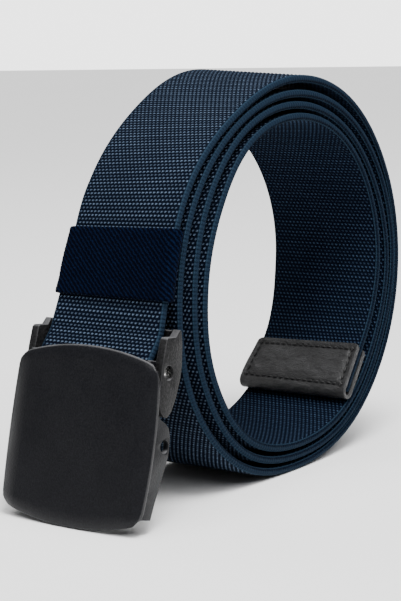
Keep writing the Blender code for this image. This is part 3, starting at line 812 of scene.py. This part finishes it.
def tab_puff(back, across, settings):
    """How far the leather swells between its stitch lines, and dips along them."""
    inset = min(TAB_LENGTH - back, TAB_HALF - abs(across), back + SEAM_ONTO_FOLD)
    from_stitch = inset - STITCH_INSET
    swell = settings.puff * smooth_step(from_stitch / SWELL_RUN)
    dip = settings.puff * max(0.0, 1 - abs(from_stitch) / SEAM_DIP_HALF)
    return swell - dip


def tab_corner(back, across):
    """Where a point of a flap lies once its two free corners are rounded."""
    beyond_side = abs(across) - (TAB_HALF - TAB_CORNER)
    beyond_end = back - (TAB_LENGTH - TAB_CORNER)
    if beyond_side <= 0 or beyond_end <= 0:
        return back, across
    pull = max(beyond_side, beyond_end) / hypot(beyond_side, beyond_end)
    across = (TAB_HALF - TAB_CORNER + beyond_side * pull) * (1 if across > 0 else -1)
    return TAB_LENGTH - TAB_CORNER + beyond_end * pull, across


def build_tab(settings):
    """The leather patch, folded round the strip's inner end, soft between its seams."""
    bend = [pi / 2 - pi * k / 14 for k in range(15)]
    flap = [TAB_LENGTH * k / 36 for k in range(36, 0, -1)]
    section = [(back, 1) for back in flap] + [(turn, 0) for turn in bend]
    section += [(back, -1) for back in reversed(flap)]
    columns = 72
    bm = bmesh.new()
    bmesh.ops.create_grid(bm, x_segments=len(section) - 1, y_segments=columns, size=0.5)
    for vert in bm.verts:
        value, side = section[round((vert.co.x + 0.5) * (len(section) - 1))]
        across = vert.co.y * 2 * TAB_HALF
        if side:
            value, across = tab_corner(value, across)
            height = side * (TAB_AWAY + tab_puff(value, across, settings))
            vert.co = STRIP.place(STRIP.total - value, across, height)
        else:
            place = STRIP.place(STRIP.total, across, TAB_AWAY * sin(value))
            before = STRIP.place(STRIP.total - 0.001, across, TAB_AWAY * sin(value))
            onward = (place - before).normalized()
            vert.co = place + onward * TAB_AWAY * cos(value)
    piece = new_piece("leather_tab", bm, leather_material(settings))
    wall = piece.modifiers.new("Wall", "SOLIDIFY")
    wall.thickness = LEATHER
    wall.offset = 0.0
    rounding = piece.modifiers.new("Rounding", "BEVEL")
    rounding.width = LEATHER * 0.33
    rounding.segments = 3
    rounding.limit_method = "ANGLE"
    rounding.angle_limit = radians(50)
    return applied(piece)


def seam_curve(name, lines):
    """A curve object with one straight-sided spline for each line of points."""
    curve = bpy.data.curves.new(name, "CURVE")
    curve.dimensions = "3D"
    for line in lines:
        spline = curve.splines.new("POLY")
        spline.points.add(len(line) - 1)
        for point, place in zip(spline.points, line):
            point.co = (*place, 1.0)
    seam = bpy.data.objects.new(name, curve)
    bpy.context.scene.collection.objects.link(seam)
    return seam


def stitch_tree():
    """Lays a rounded stitch at every pitch along a curve, in line with it."""
    tree = bpy.data.node_groups.new("Stitches", "GeometryNodeTree")
    sockets = tree.interface
    sockets.new_socket("Seam", in_out="INPUT", socket_type="NodeSocketGeometry")
    for name in ("Pitch", "Length", "Thread"):
        sockets.new_socket(name, in_out="INPUT", socket_type="NodeSocketFloat")
    sockets.new_socket("Material", in_out="INPUT", socket_type="NodeSocketMaterial")
    sockets.new_socket("Stitches", in_out="OUTPUT", socket_type="NodeSocketGeometry")
    new = tree.nodes.new
    given, done = new("NodeGroupInput"), new("NodeGroupOutput")
    points = new("GeometryNodeCurveToPoints")
    points.mode = "LENGTH"
    stitch = new("GeometryNodeMeshUVSphere")
    stitch.inputs["Segments"].default_value = 8
    stitch.inputs["Rings"].default_value = 6
    stitch.inputs["Radius"].default_value = 0.5
    size = new("ShaderNodeCombineXYZ")
    shaped = new("GeometryNodeTransform")
    lay = new("GeometryNodeInstanceOnPoints")
    real = new("GeometryNodeRealizeInstances")
    smooth = new("GeometryNodeSetShadeSmooth")
    finish = new("GeometryNodeSetMaterial")
    joins = (
        (given, "Seam", points, "Curve"),
        (given, "Pitch", points, "Length"),
        (given, "Thread", size, "X"),
        (given, "Thread", size, "Y"),
        (given, "Length", size, "Z"),
        (stitch, "Mesh", shaped, "Geometry"),
        (size, "Vector", shaped, "Scale"),
        (points, "Points", lay, "Points"),
        (points, "Rotation", lay, "Rotation"),
        (shaped, "Geometry", lay, "Instance"),
        (lay, "Instances", real, "Geometry"),
        (real, "Geometry", smooth, "Geometry"),
        (smooth, "Geometry", finish, "Geometry"),
        (given, "Material", finish, "Material"),
        (finish, "Geometry", done, "Stitches"),
    )
    for source, output, target, entry in joins:
        tree.links.new(source.outputs[output], target.inputs[entry])
    return tree


def sewn(name, lines, settings, material):
    """A seam of stitches as one plain mesh."""
    seam = seam_curve(f"{name}_line", lines)
    modifier = seam.modifiers.new("Stitches", "NODES")
    tree = stitch_tree()
    modifier.node_group = tree
    values = {"Pitch": settings.pitch, "Length": settings.length, "Thread": settings.thread}
    values["Material"] = material
    for item in tree.interface.items_tree:
        if item.item_type == "SOCKET" and item.name in values:
            modifier[item.identifier] = values[item.name]
    bpy.context.view_layer.update()
    graph = bpy.context.evaluated_depsgraph_get()
    mesh = bpy.data.meshes.new_from_object(seam.evaluated_get(graph))
    bpy.data.objects.remove(seam, do_unlink=True)
    piece = bpy.data.objects.new(name, mesh)
    bpy.context.scene.collection.objects.link(piece)
    return piece


def tab_seams(settings):
    """The four lines of the stitched rectangle, on both flaps."""
    half = TAB_HALF - STITCH_INSET
    near_fold = STRIP.total - STITCH_INSET + SEAM_ONTO_FOLD
    far_end = STRIP.total - TAB_LENGTH + STITCH_INSET
    corners = [(far_end, -half), (far_end, half), (near_fold, half), (near_fold, -half), (far_end, -half)]
    lines = []
    for side in (1, -1):
        height = side * (TAB_AWAY + LEATHER / 2 + settings.thread * 0.1)
        for (run, across), (next_run, next_across) in zip(corners, corners[1:]):
            steps = [k / 20 for k in range(21)]
            places = [(mix(run, next_run, k), mix(across, next_across, k)) for k in steps]
            lines.append([STRIP.place(*place, height) for place in places])
    return lines


def bevelled(bm, edges, radius, segments):
    """Rounds the edges and gives back what the rounding made."""
    return bmesh.ops.bevel(
        bm,
        geom=edges,
        offset=radius,
        offset_type="OFFSET",
        segments=segments,
        profile=0.5,
        affect="EDGES",
        clamp_overlap=False,
    )


def softened(node, name, radius, material, segments=2):
    """A copy of a solid with its sharp edges rounded, and its worn edges and its painted highlight on
    faces that look up in the attribute wear_and_highlight.
    """
    bm = bmesh.new()
    bm.from_mesh(frame["nodes"][node].data)
    bmesh.ops.remove_doubles(bm, verts=bm.verts, dist=2e-6)
    bmesh.ops.dissolve_limit(bm, angle_limit=radians(0.01), verts=bm.verts, edges=bm.edges)
    for face in bm.faces:
        face.material_index = 0
    sharp = [edge for edge in bm.edges if edge.calc_face_angle(0.0) > SHARP_EDGE]
    sharp = [edge for edge in sharp if edge.calc_length() > LONG_ENOUGH * radius]
    rounded = bevelled(bm, sharp, radius, segments)
    band = set(rounded["faces"])
    wear_and_highlight = bm.verts.layers.float.new("wear_and_highlight")
    # Vertices inside the rounded bands get a share of it as edge wear
    for vert in bm.verts:
        vert[wear_and_highlight] = EDGE_WEAR if all(face in band for face in vert.link_faces) else 0.0
    # Faces that look up get the painted highlight at full strength
    for face in bm.faces:
        if face.normal.z > UPWARD:
            for vert in face.verts:
                vert[wear_and_highlight] = 1.0
    bmesh.ops.triangulate(bm, faces=[face for face in bm.faces if len(face.verts) > 4])
    return new_piece(name, bm, material, sharp=SMOOTH_UP_TO)


def dress(piece, body, node):
    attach(piece, body)
    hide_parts(node)


def length_property(name, description, default, **limits):
    return bpy.props.FloatProperty(
        name=name, description=description, default=default, unit="LENGTH", precision=5, min=0.0, **limits
    )


def colour_property(name, description, default):
    return bpy.props.FloatVectorProperty(
        name=name, description=description, default=default, subtype="COLOR", size=3, min=0.0, max=1.0
    )


class BeltWebbingSettings(bpy.types.PropertyGroup):
    """Sizes and colours of the pebbled elastic webbing."""

    row_pitch: length_property("Row pitch", "Distance between rows of pebbles along the strap", 0.00110)
    column_pitch: length_property("Column pitch", "Half the distance between pebbles in a row", 0.00068)
    columns: bpy.props.IntProperty(
        name="Columns",
        description="Half pebbles across the strap, a multiple of four",
        default=52,
        min=8,
        max=80,
    )
    relief: length_property("Relief", "Rise of a pebble above the face's middle level", 0.00014)
    # Pebble tops are painted with a highlight and the valleys between them with painted shade
    lit_peak_color: colour_property("Lit pebble colour", "Colour on top of the pebbles", (0.080, 0.115, 0.172))
    inner_color: colour_property("Inner colour", "The same on the inward face", (0.026, 0.048, 0.086))
    valley_color: colour_property("Shaded valley colour", "Colour between the pebbles", (0.0005, 0.0020, 0.0068))
    selvage_color: colour_property("Selvage colour", "Colour of the smooth edge", (0.0070, 0.0155, 0.0290))
    cord_color: colour_property("Cord colour", "Fine line inside the selvage", (0.014, 0.031, 0.052))


class BeltKeeperSettings(bpy.types.PropertyGroup):
    """Sizes and colours of the keeper's twill."""

    rib_pitch: length_property("Rib pitch", "Distance between twill ribs along the strap", 0.0014)
    rib_height: length_property("Rib height", "Rise of a rib above the middle level", 0.00008)
    rib_slope: bpy.props.FloatProperty(
        name="Rib slope", description="Rise of a rib for each step across the strap", default=0.85
    )
    # Rib tops are painted lit and the grooves between them painted in shade
    lit_rib_color: colour_property("Lit rib colour", "Colour on top of the ribs", (0.0016, 0.0062, 0.0240))
    valley_color: colour_property("Shaded valley colour", "Colour between the ribs", (0.0001, 0.0005, 0.0028))


class BeltTabSettings(bpy.types.PropertyGroup):
    """Sizes and colours of the leather end tab."""

    grain: length_property("Grain", "Size of one grain cell", 0.00045)
    puff: length_property("Swell", "Rise of the leather between its seams", 0.00030)
    # The high places are painted with a sheen and the creases with painted shade
    high_color: colour_property("Lit high colour", "Colour on the high places", (0.0230, 0.0230, 0.0240))
    low_color: colour_property("Shaded crease colour", "Colour in the creases", (0.0100, 0.0100, 0.0106))


class BeltStitchSettings(bpy.types.PropertyGroup):
    """Sizes of the tab's sewing."""

    pitch: length_property("Stitch pitch", "Distance from one stitch to the next", 0.0021)
    length: length_property("Stitch length", "Length of one stitch", 0.0018)
    thread: length_property("Thread", "Thickness of the thread", 0.00075)


class BeltBuckleSettings(bpy.types.PropertyGroup):
    """Edge rounding and colours of the moulded buckle."""

    edge_radius: length_property("Edge radius", "Rounding of the moulded edges", 0.00022)
    cover_color: colour_property("Cover colour", "Colour of the flip cover", (0.0034, 0.0036, 0.0048))
    frame_color: colour_property("Frame colour", "Colour of the ears", (0.0040, 0.0040, 0.0045))


class BeltStageSettings(bpy.types.PropertyGroup):
    """Floor and light of the studio."""

    floor_color: colour_property("Floor colour", "Colour of the floor", (0.96, 0.96, 0.96))
    sky: bpy.props.FloatProperty(
        name="Surround", description="Strength of the even light", default=0.15, min=0.0
    )
    backdrop: bpy.props.FloatProperty(
        name="Backdrop", description="Brightness of what is seen behind the belt", default=3.2, min=0.0
    )
    sun: bpy.props.FloatProperty(
        name="Top light", description="Strength of the soft top light", default=4.4, min=0.0
    )
    key: bpy.props.FloatProperty(
        name="Key light", description="Power of the main soft light", default=8.5, min=0.0, unit="POWER"
    )


SETTINGS = {
    "belt_webbing": BeltWebbingSettings,
    "belt_keeper": BeltKeeperSettings,
    "belt_tab": BeltTabSettings,
    "belt_stitches": BeltStitchSettings,
    "belt_buckle": BeltBuckleSettings,
    "belt_stage": BeltStageSettings,
}


class BELT_OT_webbing(bpy.types.Operator):
    """Build the pebbled elastic strap from the sewn loop to the inner end"""

    bl_idname = "belt.webbing"
    bl_label = "Webbing"

    def execute(self, context):
        piece = build_webbing(context.scene.belt_webbing)
        dress(piece, "belt", "webbing_strap")
        return {"FINISHED"}


class BELT_OT_keeper(bpy.types.Operator):
    """Build the twill loop round the strap"""

    bl_idname = "belt.keeper"
    bl_label = "Keeper"

    def execute(self, context):
        piece = build_keeper(context.scene.belt_keeper)
        dress(piece, "belt", "keeper_loop")
        return {"FINISHED"}


class BELT_OT_end_tab(bpy.types.Operator):
    """Build the folded leather tab on the strap's inner end"""

    bl_idname = "belt.end_tab"
    bl_label = "End tab"

    def execute(self, context):
        piece = build_tab(context.scene.belt_tab)
        dress(piece, "belt", "end_tab")
        return {"FINISHED"}


class BELT_OT_stitches(bpy.types.Operator):
    """Sew the rectangle of stitches on both sides of the tab"""

    bl_idname = "belt.stitches"
    bl_label = "Stitches"

    def execute(self, context):
        settings = context.scene.belt_stitches
        piece = sewn("tab_stitches", tab_seams(settings), settings, thread_material())
        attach(piece, "belt")
        return {"FINISHED"}


class BELT_OT_buckle(bpy.types.Operator):
    """Build the moulded cover and ears and the steel hinge pin"""

    bl_idname = "belt.buckle"
    bl_label = "Buckle"

    def execute(self, context):
        settings = context.scene.belt_buckle
        charcoal = moulded_material("cover_plastic", settings.cover_color, COVER_FINISH, eased=True)
        grey = moulded_material("frame_plastic", settings.frame_color, FRAME_FINISH)
        cover = softened("buckle_cover", "moulded_cover", settings.edge_radius, charcoal)
        dress(cover, "cover", "buckle_cover")
        ears = softened("buckle_frame", "moulded_frame", settings.edge_radius, grey)
        dress(ears, "belt", "buckle_frame")
        pin = softened("hinge_pin", "steel_pin", PIN_RADIUS / 2, steel_material(), segments=5)
        dress(pin, "belt", "hinge_pin")
        return {"FINISHED"}


def add_area(name, place, target, size, power):
    light = bpy.data.lights.new(name, "AREA")
    light.shape = "DISK"
    light.size = size
    light.energy = power
    lamp = bpy.data.objects.new(name, light)
    lamp.location = place
    lamp.rotation_euler = (Vector(target) - Vector(place)).to_track_quat("-Z", "Y").to_euler()
    bpy.context.scene.collection.objects.link(lamp)


def add_sun(name, direction, strength):
    light = bpy.data.lights.new(name, "SUN")
    light.angle = SUN_SPREAD
    light.energy = strength
    lamp = bpy.data.objects.new(name, light)
    lamp.rotation_euler = (-Vector(direction)).to_track_quat("-Z", "Y").to_euler()
    bpy.context.scene.collection.objects.link(lamp)


def light_up_world(world, settings):
    """An even surround that is white behind the belt and dimmer as a light."""
    tree = world.node_tree
    lit = tree.nodes["Background"]
    lit.inputs["Color"].default_value = (1.0, 1.0, 1.0, 1.0)
    lit.inputs["Strength"].default_value = settings.sky
    seen = tree.nodes.new("ShaderNodeBackground")
    seen.inputs["Strength"].default_value = settings.backdrop
    seen.inputs["Color"].default_value = (1.0, 1.0, 1.0, 1.0)
    path = tree.nodes.new("ShaderNodeLightPath")
    either = tree.nodes.new("ShaderNodeMixShader")
    tree.links.new(path.outputs["Is Camera Ray"], either.inputs["Fac"])
    tree.links.new(lit.outputs["Background"], either.inputs[1])
    tree.links.new(seen.outputs["Background"], either.inputs[2])
    tree.links.new(either.outputs["Shader"], tree.nodes["World Output"].inputs["Surface"])


def add_camera():
    back = Vector(
        (sin(CAMERA_YAW) * cos(CAMERA_PITCH), -cos(CAMERA_YAW) * cos(CAMERA_PITCH), sin(CAMERA_PITCH))
    )
    right = Vector((cos(CAMERA_YAW), sin(CAMERA_YAW), 0.0))
    up = back.cross(right)
    axis_x = right * cos(CAMERA_ROLL) + up * sin(CAMERA_ROLL)
    axis_y = up * cos(CAMERA_ROLL) - right * sin(CAMERA_ROLL)
    pose = Matrix((axis_x, axis_y, back)).transposed().to_4x4()
    data = bpy.data.cameras.new("photo_camera")
    data.sensor_fit = "VERTICAL"
    data.lens = data.sensor_height * FOCAL_PX / PHOTO_HEIGHT_PX
    camera = bpy.data.objects.new("photo_camera", data)
    camera.matrix_world = SETTLED @ Matrix.Translation(CAMERA_PLACE) @ pose
    bpy.context.scene.collection.objects.link(camera)
    bpy.context.scene.camera = camera


class BELT_OT_stage(bpy.types.Operator):
    """Set out the pale floor, the soft studio light and the photo's camera"""

    bl_idname = "belt.stage"
    bl_label = "Stage"

    def execute(self, context):
        settings = context.scene.belt_stage
        bm = bmesh.new()
        bmesh.ops.create_grid(bm, x_segments=1, y_segments=1, size=FLOOR_HALF)
        bm.transform(Matrix.Translation((0.0, 0.0, -FLOOR_DROP)))
        floor_piece = new_piece("studio_floor", bm, floor_material(settings.floor_color))
        world = bpy.data.worlds.new("studio")
        world.use_nodes = True
        light_up_world(world, settings)
        context.scene.world = world
        add_area("key_light", KEY_PLACE, LIT_MIDDLE, KEY_SIZE, settings.key)
        add_area("rim_light", RIM_PLACE, LIT_MIDDLE, RIM_SIZE, settings.key * RIM_SHARE)
        add_sun("top_light", SUN_FROM, settings.sun)
        add_camera()
        return {"FINISHED"}


OPERATORS = (
    BELT_OT_stage,
    BELT_OT_webbing,
    BELT_OT_keeper,
    BELT_OT_end_tab,
    BELT_OT_stitches,
    BELT_OT_buckle,
)


class BELT_PT_pieces(bpy.types.Panel):
    """Lists the belt's pieces with their sizes and colours"""

    bl_idname = "BELT_PT_pieces"
    bl_label = "Elastic belt"
    bl_space_type = "VIEW_3D"
    bl_region_type = "UI"
    bl_category = "Belt"

    def draw(self, context):
        for operator in OPERATORS:
            self.layout.operator(operator.bl_idname)
        for name, group in SETTINGS.items():
            box = self.layout.box()
            box.label(text=name.replace("_", " ").capitalize())
            for key in group.__annotations__:
                box.prop(getattr(context.scene, name), key)


def register():
    for group in SETTINGS.values():
        bpy.utils.register_class(group)
    for name, group in SETTINGS.items():
        setattr(bpy.types.Scene, name, bpy.props.PointerProperty(type=group))
    for operator in OPERATORS:
        bpy.utils.register_class(operator)
    bpy.utils.register_class(BELT_PT_pieces)


def unregister():
    bpy.utils.unregister_class(BELT_PT_pieces)
    for operator in reversed(OPERATORS):
        bpy.utils.unregister_class(operator)
    for name in SETTINGS:
        delattr(bpy.types.Scene, name)
    for group in reversed(SETTINGS.values()):
        bpy.utils.unregister_class(group)


def main():
    register()
    bpy.ops.belt.stage()
    bpy.ops.belt.webbing()
    bpy.ops.belt.keeper()
    bpy.ops.belt.end_tab()
    bpy.ops.belt.stitches()
    bpy.ops.belt.buckle()


if __name__ == "__main__":
    main()
